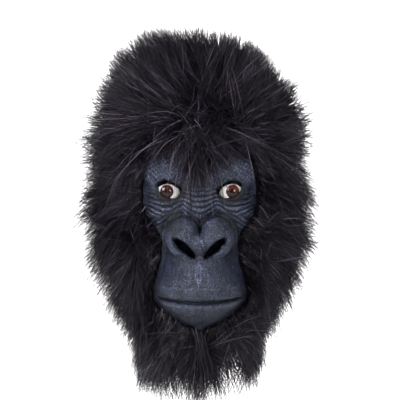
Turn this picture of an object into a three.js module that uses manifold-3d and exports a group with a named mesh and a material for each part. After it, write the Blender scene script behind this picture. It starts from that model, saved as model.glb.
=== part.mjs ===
// Full overhead gorilla mask: a hollow latex head with two domed eyes behind its lids, and long-pile fur
// glued on round the face. A fur hood covers crown, sides and nape, and a fur bib hangs under the chin.
// Millimetres, +Z up. The face looks along -Y and +X is the viewer's right. The origin is the inside of the
// crown, where the mask rests on the wearer's head. The sizes below are measured from the eye line (height 0)
// and from the upright axis through the crown.
import * as THREE from "three";
import { mergeVertices } from "three/addons/utils/BufferGeometryUtils.js";
import Module from "manifold-3d";

const wasm = await Module();
wasm.setup();

// Latex head
const LATEX_WALL = 2;
const CROWN_RISE = 124;
const DOME_START = 40;
const HEM_DROP = 156;
const HEAD_HALF_WIDTH = 78;
const FOREHEAD_REACH = 92;
const NAPE_REACH = 106;
const CROWN_LEAN = 8; // how far the crown's top lies behind the axis

// Brow, nose and snout
const BROW_TOP = 38;
const BROW_SPREAD = 29;
const BROW_REACH = 102;
const NOSE_TOP = -24;
const NOSE_BOTTOM = -66;
const NOSE_HALF_WIDTH = 35;
const NOSE_REACH = 129;
const SNOUT_HALF_WIDTH = 45;
const SNOUT_REACH = 133;
const CHIN_DROP = 135;
const MOUTH_DROP = 108;
const MOUTH_HALF_WIDTH = 42;
const MOUTH_DEPTH = 4;
const NOSTRIL_LENGTH = 29;
const NOSTRIL_WIDTH = 11;
const NOSTRIL_DEPTH = 9;

// Eyes
const EYE_SPACING = 63;
const EYE_RADIUS = 14.7;
const EYE_WALL = 2;
const EYE_CENTRE_REACH = 72; // axis to the middle of the eye's dome
const EYE_CLEARANCE = 0.6; // dome to the inside of the lids
const EYE_HALF_WIDTH = 13;
const EYE_HALF_HEIGHT = 10;
const SIGHT_SLIT = 3; // open crescent over each eye, which the wearer looks through
const LID_HALF_WIDTH = 12.6;
const LID_HALF_HEIGHT = 8.8;
const LID_TILT = 9; // degrees, outer corner up

// Fur
const FUR_GAP = 1.1; // latex to the inside of the fur's backing at the corners of its facets
const BACKING = 2;
const LOCK_GAP = 0.6; // latex to a lock that dips towards it
const LOCK_LENGTH = 66;
const LOCK_WIDTH = 47;
const LOCK_THICKNESS = 11;
const FACE_EDGE = 50; // degrees round the head from the face's middle to the hood's front edge
const BIB_EDGE = 46; // degrees from the middle to the bib's side edge

const DEGREE = Math.PI / 180;
const mix = (a, b, t) => a + (b - a) * t;
const clamp = (v, low, high) => Math.min(high, Math.max(low, v));
const smooth = (low, high, v) => {
  const t = clamp((v - low) / (high - low), 0, 1);
  return t * t * (3 - 2 * t);
};

// A value read from a table of sections by height, with a smooth curve through the rows.
function readTable(rows, height, column) {
  const last = rows.length - 1;
  if (height >= rows[0].height) return rows[0][column];
  if (height <= rows[last].height) return rows[last][column];
  const k = rows.findIndex((row) => row.height <= height);
  const [before, a, b, after] = [k - 2, k - 1, k, k + 1].map((i) => rows[clamp(i, 0, last)]);
  const slope = (p, q) => (q[column] - p[column]) / Math.min(q.height - p.height, -1e-6);
  const span = b.height - a.height;
  const t = (height - a.height) / span;
  const m = (slope(before, a) + slope(a, b)) / (before === a ? 1 : 2);
  const n = (slope(a, b) + slope(b, after)) / (after === b ? 1 : 2);
  return (
    (2 * t ** 3 - 3 * t ** 2 + 1) * a[column] +
    (t ** 3 - 2 * t ** 2 + t) * span * m +
    (3 * t ** 2 - 2 * t ** 3) * b[column] +
    (t ** 3 - t ** 2) * span * n
  );
}

// Level sections of the head below the temples. Heights are shares of the hem's drop, the others of the
// head's half width, forehead reach and nape reach.
const HEAD_SECTIONS = [
  { height: DOME_START / HEM_DROP, width: 1.0, front: 1.0, back: 1.0 },
  { height: 0, width: 1.0, front: 0.96, back: 1.0 },
  { height: -0.2, width: 0.98, front: 0.94, back: 0.96 },
  { height: -0.4, width: 0.93, front: 0.92, back: 0.9 },
  { height: -0.6, width: 0.82, front: 0.9, back: 0.83 },
  { height: -0.8, width: 0.7, front: 0.88, back: 0.79 },
  { height: -1, width: 0.66, front: 0.9, back: 0.79 },
];
const HEAD_ROUNDNESS = 2.15;
const DOME_ROUNDNESS = 2.3;

// Level sections of the snout from the nose's top to the chin: shares of the chin's drop, of the snout's
// half width and of its reach.
const SNOUT_SECTIONS = [
  { height: -0.12, width: 0.42, reach: 0.7 },
  { height: -0.2, width: 0.56, reach: 0.77 },
  { height: -0.3, width: 0.68, reach: 0.83 },
  { height: -0.44, width: 0.75, reach: 0.905 },
  { height: -0.56, width: 0.83, reach: 0.955 },
  { height: -0.67, width: 0.95, reach: 0.99 },
  { height: -0.75, width: 1.0, reach: 1.0 },
  { height: -0.81, width: 0.97, reach: 0.985 },
  { height: -0.87, width: 0.81, reach: 0.965 },
  { height: -0.925, width: 0.6, reach: 0.925 },
  { height: -0.97, width: 0.42, reach: 0.865 },
  { height: -1, width: 0.24, reach: 0.8 },
];
const SNOUT_ROOT = 0.45; // share of the snout's reach where its sections are centred
const SNOUT_ROUNDNESS = 2.4;

// Distance to a level superellipse of these half sizes, good near its edge.
function oval(x, y, halfX, halfY, roundness) {
  const a = Math.abs(x / halfX);
  const b = Math.abs(y / halfY);
  const rho = (a ** roundness + b ** roundness) ** (1 / roundness);
  if (rho < 1e-6) return -Math.min(halfX, halfY);
  const turn = rho ** (1 - roundness);
  return (rho - 1) / Math.hypot((a ** (roundness - 1) / halfX) * turn, (b ** (roundness - 1) / halfY) * turn);
}

// Distance to an ellipsoid, tilt turning it in the front view.
function ellipsoid(p, centre, radii, tilt = 0) {
  const [dx, dy, dz] = [p.x - centre[0], p.y - centre[1], p.z - centre[2]];
  const [c, s] = [Math.cos(tilt * DEGREE), Math.sin(tilt * DEGREE)];
  const q = [c * dx + s * dz, dy, c * dz - s * dx];
  const k = Math.hypot(q[0] / radii[0], q[1] / radii[1], q[2] / radii[2]);
  const l = Math.hypot(q[0] / radii[0] ** 2, q[1] / radii[1] ** 2, q[2] / radii[2] ** 2);
  return (k * (k - 1)) / Math.max(l, 1e-9);
}

// Two forms melted together, or one carved out of the other, over a seam of this softness.
function melt(a, b, softness) {
  const h = clamp(0.5 + (0.5 * (b - a)) / softness, 0, 1);
  return mix(b, a, h) - softness * h * (1 - h);
}
const carve = (a, b, softness) => -melt(-a, b, softness);

function headForm(p) {
  const rise = clamp((p.z - DOME_START) / (CROWN_RISE - DOME_START), 0, 0.9999);
  const dome = (1 - rise ** DOME_ROUNDNESS) ** (1 / DOME_ROUNDNESS);
  const width = HEAD_HALF_WIDTH * dome * readTable(HEAD_SECTIONS, p.z / HEM_DROP, "width");
  const front = FOREHEAD_REACH * dome * readTable(HEAD_SECTIONS, p.z / HEM_DROP, "front");
  const back = NAPE_REACH * dome * readTable(HEAD_SECTIONS, p.z / HEM_DROP, "back");
  const y = p.y - CROWN_LEAN * rise;
  return oval(p.x, y, width, y < 0 ? front : back, HEAD_ROUNDNESS);
}

function snoutForm(p) {
  const height = p.z / CHIN_DROP;
  const root = -SNOUT_ROOT * SNOUT_REACH;
  const reach = SNOUT_REACH * readTable(SNOUT_SECTIONS, height, "reach") + root;
  const width = SNOUT_HALF_WIDTH * readTable(SNOUT_SECTIONS, height, "width");
  const below = Math.max(0, -1 - height) * CHIN_DROP;
  const above = Math.max(0, height - SNOUT_SECTIONS[0].height) * CHIN_DROP;
  return oval(p.x, p.y - root, width, reach, SNOUT_ROUNDNESS) + below + above;
}

// The whole outside of the latex: negative inside, in millimetres near the surface.
function latexForm(point) {
  const p = { x: Math.abs(point.x), y: point.y, z: point.z };
  const eyeX = EYE_SPACING / 2;
  const noseMiddle = (NOSE_TOP + NOSE_BOTTOM) / 2;
  let f = headForm(p);
  if (p.y > 0) return f;
  const browHeight = BROW_TOP / 2;
  const brow = ellipsoid(p, [BROW_SPREAD, -BROW_REACH + 25, browHeight], [26, 25, browHeight - 1]);
  f = melt(f, brow, 7);
  f = melt(f, ellipsoid(p, [0, -BROW_REACH + 21, browHeight * 0.6], [15, 16, 15]), 8);
  f = carve(f, ellipsoid(p, [eyeX, -EYE_CENTRE_REACH - 32, 0], [19, 18, 9]), 5);
  f = melt(f, ellipsoid(p, [0, -FOREHEAD_REACH + 16, -10], [12, 17, 22]), 7);
  f = melt(f, ellipsoid(p, [eyeX, -FOREHEAD_REACH + 26, -21], [21, 20, 13]), 6);
  const lid = Math.hypot(p.x - eyeX, p.y + EYE_CENTRE_REACH, p.z);
  f = melt(f, lid - (EYE_RADIUS + EYE_CLEARANCE + LATEX_WALL), 3);
  f = melt(f, snoutForm(p), 11);
  const wing = [NOSE_HALF_WIDTH - 18, -NOSE_REACH + 16, noseMiddle + 1];
  let nose = ellipsoid(p, wing, [18, 16, (NOSE_TOP - NOSE_BOTTOM) / 2 - 1]);
  nose = melt(nose, ellipsoid(p, [0, -NOSE_REACH + 17, noseMiddle - 8], [10, 18, 12]), 5);
  f = melt(f, nose, 2.5);
  const nostril = [NOSTRIL_LENGTH / 2 + 1, -NOSE_REACH + 3, noseMiddle - 10];
  f = carve(f, ellipsoid(p, nostril, [NOSTRIL_LENGTH / 2, NOSTRIL_DEPTH, NOSTRIL_WIDTH / 2], 42), 2.5);
  const mouthLine = -MOUTH_DROP + 5 * (p.x / MOUTH_HALF_WIDTH) ** 2;
  const mouthEnd = 1 - smooth(MOUTH_HALF_WIDTH - 3, MOUTH_HALF_WIDTH + 4, p.x);
  const lips = MOUTH_DEPTH * Math.exp(-(((p.z - mouthLine) / 3) ** 2)) * mouthEnd;
  return f + lips * smooth(SNOUT_REACH * 0.55, SNOUT_REACH * 0.75, -p.y);
}

function outward(p) {
  const step = 0.2;
  const across = (axis) => {
    const [a, b] = [p.clone(), p.clone()];
    a[axis] += step;
    b[axis] -= step;
    return latexForm(a) - latexForm(b);
  };
  return new THREE.Vector3(across("x"), across("y"), across("z")).normalize();
}

// Where the rays of each level start: well back at brow and neck, and far forward inside the snout.
const RAY_STARTS = [
  { height: CROWN_RISE, y: CROWN_LEAN },
  { height: DOME_START, y: -12 },
  { height: 0, y: -24 },
  { height: NOSE_TOP, y: -38 },
  { height: NOSE_BOTTOM, y: -50 },
  { height: -MOUTH_DROP, y: -52 },
  { height: -CHIN_DROP, y: -42 },
  { height: -HEM_DROP, y: -18 },
];
const OUTSIDE = 220;

// The point of the latex's outside at an angle round the head, in degrees from the face, at a height.
function skinPoint(angle, z) {
  const start = readTable(RAY_STARTS, z, "y");
  const [sx, sy] = [Math.sin(angle * DEGREE), -Math.cos(angle * DEGREE)];
  const at = (r) => new THREE.Vector3(sx * r, start + sy * r, z);
  let near = OUTSIDE;
  while (near > 1 && latexForm(at(near)) > 0) near -= 3;
  let [inside, outside] = [near, near + 3];
  for (let i = 0; i < 24; i++) {
    const middle = (inside + outside) / 2;
    if (latexForm(at(middle)) > 0) outside = middle;
    else inside = middle;
  }
  return at((inside + outside) / 2);
}

// The angle at which the skin at a height lies this far to the side.
function angleAt(x, z) {
  let [low, high] = [0, 85];
  for (let i = 0; i < 20; i++) {
    const middle = (low + high) / 2;
    if (skinPoint(middle, z).x < x) low = middle;
    else high = middle;
  }
  return (low + high) / 2;
}

// Grid of the skin: columns round one half of the head in degrees, close over the face, and rows of heights.
const COLUMN_BANDS = [
  { to: 43.2, columns: 12 },
  { to: 70, columns: 3 },
  { to: 180, columns: 7 },
];
const ROW_BANDS = [
  { to: BROW_TOP + 4, rows: 4, domed: true },
  { to: LID_HALF_HEIGHT * 1.15, rows: 5 },
  { to: -LID_HALF_HEIGHT * 1.15, rows: 4 },
  { to: NOSE_TOP, rows: 2 },
  { to: NOSE_BOTTOM, rows: 8 },
  { to: -MOUTH_DROP + 8, rows: 4 },
  { to: -MOUTH_DROP - 6, rows: 4 },
  { to: -CHIN_DROP - 1, rows: 6 },
  { to: -HEM_DROP, rows: 3 },
];
function bandSteps(bands, start, count) {
  const steps = [start];
  for (const band of bands) {
    const from = steps[steps.length - 1];
    for (let k = 1; k <= band[count]; k++) {
      const t = k / band[count];
      steps.push(mix(from, band.to, band.domed ? 1 - Math.cos((t * Math.PI) / 2) : t));
    }
  }
  return steps;
}
const HALF_ANGLES = bandSteps(COLUMN_BANDS, 0, "columns");
const HEIGHTS = bandSteps(ROW_BANDS, CROWN_RISE, "rows").slice(1);
const HALF = HALF_ANGLES.length - 1;
const COLUMNS = 2 * HALF;
const FACE_COLUMNS = COLUMN_BANDS[0].columns;
const BACK_COLUMN = HALF - COLUMN_BANDS[2].columns;
const rowNear = (z) => HEIGHTS.reduce((best, h, j) => (Math.abs(h - z) < Math.abs(HEIGHTS[best] - z) ? j : best), 0);

// Openings in the latex. Each takes a block of grid cells, whose edge is drawn onto its outline.
const NOSTRIL_HOLE = 0.74; // share of the nostril's hollow that is cut through
const OPENINGS = [
  {
    centre: [EYE_SPACING / 2, 0.6],
    half: [LID_HALF_WIDTH, LID_HALF_HEIGHT],
    tilt: LID_TILT,
    column: 7,
    columns: 3,
    fade: 2.1,
  },
  {
    centre: [NOSTRIL_LENGTH / 2 + 1, (NOSE_TOP + NOSE_BOTTOM) / 2 - 10],
    half: [(NOSTRIL_HOLE * NOSTRIL_LENGTH) / 2, (NOSTRIL_HOLE * NOSTRIL_WIDTH) / 2],
    tilt: 42,
    column: 3,
    columns: 1,
    fade: 2.6,
  },
].map((o) => ({ ...o, row: rowNear(o.centre[1]), rows: 2 }));

const reachOf = (o, i, j) => Math.max(Math.abs(i - o.column) / o.columns, Math.abs(j - o.row) / o.rows);

// The outline of an opening in a direction of the front view, as a radius.
function outlineRadius(o, direction) {
  const turned = direction - o.tilt * DEGREE;
  return 1 / Math.hypot(Math.cos(turned) / o.half[0], Math.sin(turned) / o.half[1]);
}

// One vertex of the skin's grid in the half where x is positive.
function gridPoint(i, j) {
  const natural = skinPoint(HALF_ANGLES[i], HEIGHTS[j]);
  let [x, z] = [natural.x, natural.z];
  let moved = false;
  for (const o of OPENINGS) {
    const reach = reachOf(o, i, j);
    if (reach >= o.fade || reach === 0) continue;
    const direction = Math.atan2((o.row - j) / o.rows, (i - o.column) / o.columns);
    const radius = outlineRadius(o, direction) * reach;
    const share = 1 - smooth(1, o.fade, reach);
    x = mix(x, o.centre[0] + Math.cos(direction) * radius, share);
    z = mix(z, o.centre[1] + Math.sin(direction) * radius, share);
    moved = true;
  }
  return moved && i > 0 ? skinPoint(angleAt(x, z), z) : natural;
}

const SKIN = HEIGHTS.map((_, j) => {
  const half = HALF_ANGLES.map((_, i) => gridPoint(i, j));
  const mirrored = half.slice(1, HALF).reverse();
  return [...half, ...mirrored.map((p) => new THREE.Vector3(-p.x, p.y, p.z))];
});
const SKIN_NORMALS = SKIN.map((row) => row.map(outward));
const POLE = new THREE.Vector3(0, CROWN_LEAN, CROWN_RISE);
const UP = new THREE.Vector3(0, 0, 1);

const within = (k, middle, reach) => k >= middle - reach && k < middle + reach;
const isOpen = (c, j) => OPENINGS.some((o) => within(c, o.column, o.columns) && within(j, o.row, o.rows));

// A closed wall over part of the skin's grid: its outside and inside lie at two distances from the skin.
// cells lists [column, row, rows spanned, rows spanned by the cells to the left, and to the right].
function wallOver(cells, withCrown, insideAt, outsideAt) {
  const positions = [];
  const found = new Map();
  const vertex = (i, j, side) => {
    const column = (i + COLUMNS) % COLUMNS;
    const key = j < 0 ? "pole" + side : column + "," + j + "," + side;
    if (!found.has(key)) {
      const away = side ? outsideAt : insideAt;
      const base = j < 0 ? POLE : SKIN[j][column];
      const p = base.clone().addScaledVector(j < 0 ? UP : SKIN_NORMALS[j][column], away);
      found.set(key, positions.push(p) - 1);
    }
    return found.get(key);
  };
  const index = [];
  const edges = new Map();
  const face = (corners) => {
    const outer = corners.map(([i, j]) => vertex(i, j, 1));
    const inner = corners.map(([i, j]) => vertex(i, j, 0));
    const short = corners.length === 4 && cuts13(outer);
    for (let k = 1; k < corners.length - 1; k++) {
      const [a, b, c] = short ? [1, k + 1, (k + 2) % 4] : [0, k, k + 1];
      index.push(outer[a], outer[b], outer[c], inner[a], inner[c], inner[b]);
    }
    corners.forEach((_, k) => {
      const next = (k + 1) % corners.length;
      const back = outer[next] + "," + outer[k];
      if (edges.has(back)) edges.delete(back);
      else edges.set(outer[k] + "," + outer[next], [outer[k], outer[next], inner[k], inner[next]]);
    });
  };
  const cuts13 = ([a, b, c, d]) => positions[a].distanceTo(positions[c]) > positions[b].distanceTo(positions[d]);
  for (const [i, j, span, left, right] of cells) {
    const met = Array.from({ length: span - 1 }, (_, k) => k + 1);
    const leftMet = met.filter((k) => k % left === 0).map((k) => [i, j + k]);
    const rightMet = met.filter((k) => k % right === 0).map((k) => [i + 1, j + k]);
    const ring = [[i, j], ...leftMet, [i, j + span], [i + 1, j + span], ...rightMet.reverse(), [i + 1, j]];
    face(leftMet.length ? [ring.pop(), ...ring] : ring);
  }
  if (withCrown) for (let i = 0; i < COLUMNS; i++) face([[0, -1], [i, 0], [i + 1, 0]]);
  for (const [a, b, innerA, innerB] of edges.values()) index.push(b, a, innerA, b, innerA, innerB);
  const geometry = new THREE.BufferGeometry().setFromPoints(positions);
  geometry.setIndex(index);
  return geometry;
}

const BROW_ROW = ROW_BANDS[0].rows - 1;

// Rows taken together in a column: one over the face, more towards the back of the head.
const spanOf = (c, j) => (j < BROW_ROW || c < FACE_COLUMNS ? 1 : c < BACK_COLUMN ? 2 : 4);

// Cells of the grid that a wall covers. The test gets the column in its half and the row.
function chosenCells(covers) {
  const cells = [];
  const inHalf = (i) => (i < HALF ? i : COLUMNS - 1 - i);
  for (let j = 0; j < HEIGHTS.length - 1; j++)
    for (let i = 0; i < COLUMNS; i++) {
      const span = spanOf(inHalf(i), j);
      if (!covers(inHalf(i), j) || (j >= BROW_ROW && (j - BROW_ROW) % span)) continue;
      const beside = [inHalf((i + COLUMNS - 1) % COLUMNS), inHalf((i + 1) % COLUMNS)];
      cells.push([i, j, span, ...beside.map((c) => (covers(c, j) ? spanOf(c, j) : span))]);
    }
  return cells;
}

// three.js geometry and manifold solids, back and forth.
function solidOf(geometry) {
  const bare = geometry.clone();
  bare.deleteAttribute("normal");
  bare.deleteAttribute("uv");
  const merged = mergeVertices(bare, 1e-3);
  const mesh = { numProp: 3, vertProperties: merged.attributes.position.array, triVerts: merged.index.array };
  return new wasm.Manifold(new wasm.Mesh({ ...mesh, triVerts: new Uint32Array(mesh.triVerts) }));
}
function geometryOf(solid) {
  const mesh = solid.getMesh();
  const geometry = new THREE.BufferGeometry();
  geometry.setAttribute("position", new THREE.BufferAttribute(new Float32Array(mesh.vertProperties), 3));
  geometry.setIndex(new THREE.BufferAttribute(mesh.triVerts, 1));
  return geometry;
}

// One eye: a thin dome whose outline is an oval, set low behind the lids so that a slit stays open above it.
const EYE_SIDES = 16;
const EYE_STEPS = 5;
function eyeGeometry() {
  const spread = 64 * DEGREE;
  const arc = (radius, from, to) =>
    Array.from({ length: EYE_STEPS + 1 }, (_, k) => {
      const a = mix(from, to, k / EYE_STEPS);
      return new THREE.Vector2(radius * Math.sin(a), radius * Math.cos(a));
    });
  const profile = [...arc(EYE_RADIUS - EYE_WALL, 0, spread), ...arc(EYE_RADIUS, spread, 0)];
  profile[0].x = profile[profile.length - 1].x = 0;
  const dome = new THREE.LatheGeometry(profile, EYE_SIDES).rotateX(Math.PI);
  const drop = SIGHT_SLIT - LID_HALF_HEIGHT + EYE_HALF_HEIGHT;
  const outline = new THREE.Shape().absellipse(0, -drop, EYE_HALF_WIDTH, EYE_HALF_HEIGHT, 0, 2 * Math.PI);
  const stock = new THREE.ExtrudeGeometry(outline, { depth: 2 * EYE_RADIUS, bevelEnabled: false, curveSegments: 8 });
  stock.rotateX(Math.PI / 2).translate(0, EYE_RADIUS, 0);
  return geometryOf(solidOf(dome).intersect(solidOf(stock)));
}

// Which way the pile lies, by height as a share of the hem's drop: how far up, and how far away from the
// head's axis. The forehead's pile falls to the brow instead.
const PILE = [
  { height: 0.8, rise: 0.9, out: 0.6 },
  { height: 0.5, rise: 0.6, out: 0.9 },
  { height: 0.25, rise: -0.2, out: 0.9 },
  { height: 0, rise: -0.6, out: 0.75 },
  { height: -0.35, rise: -0.85, out: 0.6 },
  { height: -0.7, rise: -1, out: 0.4 },
  { height: -1, rise: -1, out: 0.2 },
];
const FRONT_TURN = 0.4; // how little the pile in front points forward
const FOREHEAD_PILE = new THREE.Vector3(0.45, -0.3, -1);
function pileFlow(p, normal) {
  const height = p.z / HEM_DROP;
  const flow = new THREE.Vector3(p.x, p.y < 0 ? p.y * FRONT_TURN : p.y, 0);
  flow.setLength(readTable(PILE, height, "out"));
  flow.z = readTable(PILE, height, "rise");
  const fallen = FOREHEAD_PILE.clone();
  fallen.x *= clamp(p.x / BROW_SPREAD, -1, 1);
  const forehead = smooth(-0.5, -0.8, p.y / FOREHEAD_REACH) * smooth(2.1 * BROW_TOP, 1.5 * BROW_TOP, p.z);
  flow.lerp(fallen, p.z > 0 ? forehead : 0);
  return flow.addScaledVector(normal, -flow.dot(normal)).normalize();
}

// The point of a backing's outside at an angle round the head and a height, with its facet's normal.
function pointOn(backing, angle, z) {
  const away = new THREE.Vector3(Math.sin(angle * DEGREE), -Math.cos(angle * DEGREE), 0);
  const from = away.clone().multiplyScalar(OUTSIDE).setZ(z);
  from.y += readTable(RAY_STARTS, z, "y");
  const hit = new THREE.Raycaster(from, away.negate()).intersectObject(backing)[0];
  return { point: hit.point, normal: hit.face.normal.clone() };
}

// One lock: three-sided sections from a root sunk in the backing, out over the pile, to a pointed tip.
const LOCK_STATIONS = [
  { along: 0, width: 0.4, thick: 0.4 },
  { along: 0.42, width: 1.0, thick: 1.0 },
];
function lockSolid(backing, angle, z, length, lift, droop) {
  const { point, normal } = pointOn(backing, angle, z);
  const flow = pileFlow(point, normal);
  const root = point.addScaledVector(normal, -BACKING / 2);
  const side = flow.clone().cross(normal).normalize();
  const spine = (t) =>
    root
      .clone()
      .addScaledVector(normal, lift * length * Math.sin((t * Math.PI) / 2))
      .addScaledVector(flow, length * t)
      .addScaledVector(UP, -droop * length * t * t);
  const points = [];
  for (const s of LOCK_STATIONS) {
    const centre = spine(s.along);
    const half = (LOCK_WIDTH / 2) * s.width * (length / LOCK_LENGTH);
    points.push(centre.clone().addScaledVector(side, -half));
    points.push(centre.clone().addScaledVector(normal, LOCK_THICKNESS * s.thick));
    points.push(centre.clone().addScaledVector(side, half));
  }
  points.push(spine(1));
  const index = [0, 2, 1];
  const last = 3 * (LOCK_STATIONS.length - 1);
  for (let k = 0; k < 3; k++) {
    const n = (k + 1) % 3;
    for (let s = 0; s < last; s += 3) index.push(s + k, s + n, s + 3 + k, s + n, s + 3 + n, s + 3 + k);
    index.push(last + k, last + n, last + 3);
  }
  const geometry = new THREE.BufferGeometry().setFromPoints(points);
  geometry.setIndex(index);
  const solid = solidOf(geometry);
  return solid.volume() > 0 ? solid : solidOf(geometry.setIndex([...index].reverse()));
}

// Rows of locks: height as a share of the crown's rise above the eye line or of the hem's drop below it, first
// and last angle from the face, locks on each side, and the shares of the lock length, of lift off the skin
// and of droop. The bib's row lies between chin and hem.
const levelAt = (share) => share * (share > 0 ? CROWN_RISE : HEM_DROP);
const HOOD_ROWS = [
  { height: 0.975, from: 40, to: 140, locks: 2, length: 0.85, lift: 0.7, droop: 0 },
  { height: 0.93, from: 72, to: 112, locks: 2, length: 0.85, lift: 1, droop: 0 },
  { height: 0.86, from: 12, to: 172, locks: 4, length: 0.95, lift: 0.52, droop: 0 },
  { height: 0.68, from: 0, to: 180, locks: 5, length: 1.05, lift: 0.42, droop: 0 },
  { height: 0.45, from: 38, to: 166, locks: 4, length: 1.1, lift: 0.4, droop: 0 },
  { height: 0.4, from: 0, to: 34, locks: 2, length: 0.6, lift: 0.32, droop: 0 },
  { height: 0.36, from: 58, to: 180, locks: 5, length: 1.15, lift: 0.38, droop: 0.1 },
  { height: 0.13, from: 82, to: 106, locks: 2, length: 1.15, lift: 0.72, droop: 0.05 },
  { height: 0.06, from: 60, to: 166, locks: 5, length: 1.15, lift: 0.38, droop: 0.1 },
  { height: -0.17, from: 64, to: 180, locks: 5, length: 1.1, lift: 0.34, droop: 0.08 },
  { height: -0.39, from: 68, to: 164, locks: 4, length: 1.1, lift: 0.3, droop: 0.05 },
  { height: -0.6, from: 78, to: 180, locks: 4, length: 0.95, lift: 0.28, droop: 0 },
  { height: -0.8, from: 84, to: 164, locks: 4, length: 0.85, lift: 0.22, droop: 0 },
].map((row) => ({ ...row, z: levelAt(row.height) }));
const FRONT_CROWDING = 1.1; // locks stand closer towards the face
const BIB_ROWS = [{ z: mix(-CHIN_DROP, -HEM_DROP, 2 / 3), from: 0, to: 22, locks: 3, length: 0.72, lift: 0.35, droop: 0.1 }];
function lockedFur(backing, rows) {
  const solids = [solidOf(backing)];
  const target = new THREE.Mesh(backing);
  for (const row of rows)
    for (let k = 0; k < row.locks; k++) {
      const angle = mix(row.from, row.to, (k / (row.locks - 1)) ** FRONT_CROWDING);
      const middle = angle === 0 || angle === 180;
      for (const side of middle ? [1] : [1, -1])
        solids.push(lockSolid(target, side * angle, row.z, LOCK_LENGTH * row.length, row.lift, row.droop));
    }
  const clear = solids.reduce((a, b) => a.add(b)).subtract(solidOf(wallOver(latexCells, true, -LATEX_WALL, LOCK_GAP)));
  return geometryOf(clear.decompose().reduce((a, b) => (a.volume() > b.volume() ? a : b)));
}

const firstColumn = (angle) => HALF_ANGLES.findIndex((a) => a >= angle);
const chinRow = rowNear(-CHIN_DROP - 1);
const latexCells = chosenCells((c, j) => !isOpen(c, j));
const hoodCells = chosenCells((c, j) => c >= firstColumn(FACE_EDGE) || j < BROW_ROW);
const bibCells = chosenCells((c, j) => c < firstColumn(BIB_EDGE) - 1 && j >= chinRow);

const latexFinish = new THREE.MeshStandardMaterial({ color: 0x3d404c, roughness: 0.5, metalness: 0 });
const furFinish = new THREE.MeshStandardMaterial({ color: 0x17141a, roughness: 0.75, metalness: 0 });
const eyeFinish = new THREE.MeshStandardMaterial({ color: 0xf2efe9, roughness: 0.08, metalness: 0 });

const mask = new THREE.Group();
mask.position.set(0, -CROWN_LEAN, -(CROWN_RISE - LATEX_WALL));
function addPiece(name, geometry, material) {
  const mesh = new THREE.Mesh(geometry, material);
  mesh.name = name;
  mask.add(mesh);
  return mesh;
}
addPiece("latex_head", wallOver(latexCells, true, -LATEX_WALL, 0), latexFinish);
addPiece("fur_hood", lockedFur(wallOver(hoodCells, true, FUR_GAP, FUR_GAP + BACKING), HOOD_ROWS), furFinish);
addPiece("fur_bib", lockedFur(wallOver(bibCells, false, FUR_GAP, FUR_GAP + BACKING), BIB_ROWS), furFinish);
for (const [name, side] of [["left_eye", -1], ["right_eye", 1]])
  addPiece(name, eyeGeometry(), eyeFinish).position.set((side * EYE_SPACING) / 2, -EYE_CENTRE_REACH, 0);

export default mask;
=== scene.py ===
import math

import bpy
import numpy as np
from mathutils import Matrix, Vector, noise


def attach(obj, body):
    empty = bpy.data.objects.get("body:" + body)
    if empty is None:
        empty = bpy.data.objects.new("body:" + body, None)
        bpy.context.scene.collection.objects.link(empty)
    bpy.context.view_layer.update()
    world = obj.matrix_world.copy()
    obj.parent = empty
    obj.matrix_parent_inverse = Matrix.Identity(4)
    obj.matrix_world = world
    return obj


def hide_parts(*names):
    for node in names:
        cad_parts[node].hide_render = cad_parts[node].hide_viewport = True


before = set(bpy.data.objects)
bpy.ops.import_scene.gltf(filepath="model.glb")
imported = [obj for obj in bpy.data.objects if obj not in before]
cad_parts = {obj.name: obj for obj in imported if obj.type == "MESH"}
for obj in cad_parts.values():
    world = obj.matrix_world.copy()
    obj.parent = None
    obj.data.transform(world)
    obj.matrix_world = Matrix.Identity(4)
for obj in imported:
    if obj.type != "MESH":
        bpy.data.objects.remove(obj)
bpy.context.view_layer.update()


# Latex head. One hollow casting, 2 mm thick, with every fold and crease of the gorilla's face cast in it. Its
# openings are two lids, two nostrils and the neck. The form is melted together from a dome, brow pads,
# sockets, lids, snout and nose, and then folded.
CROWN_RISE, DOME_START, HEM_DROP, CHIN_DROP = 124.0, 40.0, 156.0, 131.0
HEAD_HALF_WIDTH, FOREHEAD_REACH, NAPE_REACH, CROWN_LEAN = 78.0, 92.0, 106.0, 8.0
SNOUT_HALF_WIDTH, SNOUT_REACH, SNOUT_ROOT = 42.8, 133.0, 0.45
EYE_X, EYE_Y, EYE_RADIUS = 31.5, -72.0, 14.7
LATEX_WALL, LID_CLEARANCE = 2.0, 0.6
DOME_ROUNDNESS, HEAD_ROUNDNESS, SNOUT_ROUNDNESS = 2.3, 2.15, 2.4  # 2 is an ellipse, more is squarer
MOUTH_DROP, MOUTH_HALF_WIDTH, MOUTH_CORNER_RISE = 106.6, 42.0, 4.0
LIP_SWELL, LIP_HEIGHT = 4.5, 1.7
BROW_PAD = ((29, -77, 19), (26, 25, 18))  # centre and radii, as in the rows below
BROW_MIDDLE = ((0, -81, 11.4), (15, 16, 15))
SOCKET = ((EYE_X, EYE_Y - 32, 0), (19, 18, 9))
BRIDGE = ((0, -76, -10), (12, 17, 22))
UNDER_EYE = ((EYE_X, -66, -21), (21, 20, 13))
NOSE_LOBE = ((16.4, -113, -44), (17, 16, 20))
NOSE_TIP = ((0, -112, -53), (10, 18, 12))
NOSTRIL_HOLLOW = ((15.5, -126, -55), (14.5, 9, 5.5), 42)  # and its tilt in degrees
HEAD_SECTIONS = np.array([  # height as a share of the hem's drop, then shares of width, front and back reach
    (40 / 156, 1.0, 1.0, 1.0), (0, 1.0, 0.96, 1.0), (-0.2, 0.98, 0.94, 0.96), (-0.4, 0.93, 0.92, 0.9),
    (-0.6, 0.82, 0.9, 0.83), (-0.8, 0.7, 0.88, 0.79), (-1, 0.66, 0.9, 0.79)])
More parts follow.
